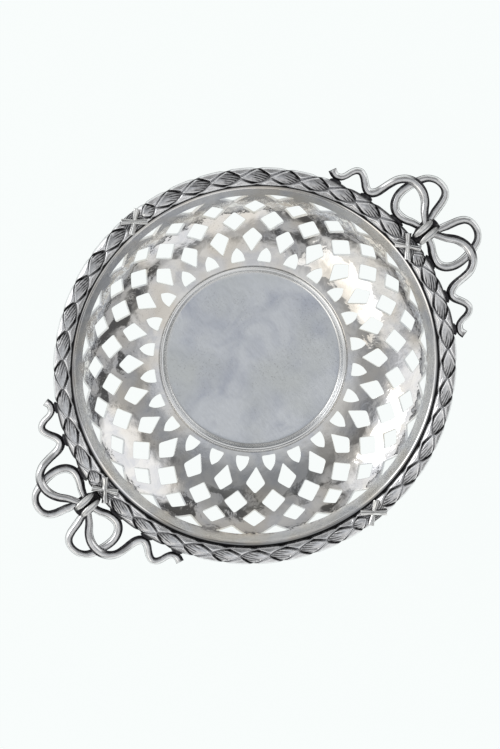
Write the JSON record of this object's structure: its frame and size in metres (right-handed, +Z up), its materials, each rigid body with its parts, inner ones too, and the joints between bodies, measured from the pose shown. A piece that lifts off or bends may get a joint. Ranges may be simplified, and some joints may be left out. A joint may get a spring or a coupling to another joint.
{
  "type": "pierced silver dish",
  "caption": "Round shallow dish: pierced diamond lattice side, sunk plain well to rest on, leaf border with crossed ribbon ties, and ribbon bow handles.",
  "frame": {"origin": "on the table, under the middle of the dish", "axes": "+X through the two bow handles, +Z up out of the bowl"},
  "size_m": [0.1714, 0.131, 0.0258],
  "materials": {
    "polished_silver": "hand polished silver sheet with fine wear",
    "oxidised_silver": "cast silver, dark in the recesses and bright on the high edges"
  },
  "bodies": {
    "root": {"well_plate": "polished_silver", "pierced_side": "polished_silver", "laurel_quarter_1": "oxidised_silver", "laurel_quarter_2": "oxidised_silver", "laurel_quarter_3": "oxidised_silver", "laurel_quarter_4": "oxidised_silver", "cross_tie_1": "oxidised_silver", "cross_tie_2": "oxidised_silver", "cross_tie_3": "oxidised_silver", "cross_tie_4": "oxidised_silver", "right_bow_knot": "oxidised_silver", "right_bow_loop_1": "oxidised_silver", "right_bow_loop_2": "oxidised_silver", "right_bow_tail_1": "oxidised_silver", "right_bow_tail_2": "oxidised_silver", "left_bow_knot": "oxidised_silver", "left_bow_loop_1": "oxidised_silver", "left_bow_loop_2": "oxidised_silver", "left_bow_tail_1": "oxidised_silver", "left_bow_tail_2": "oxidised_silver"}
  },
  "joints": []
}
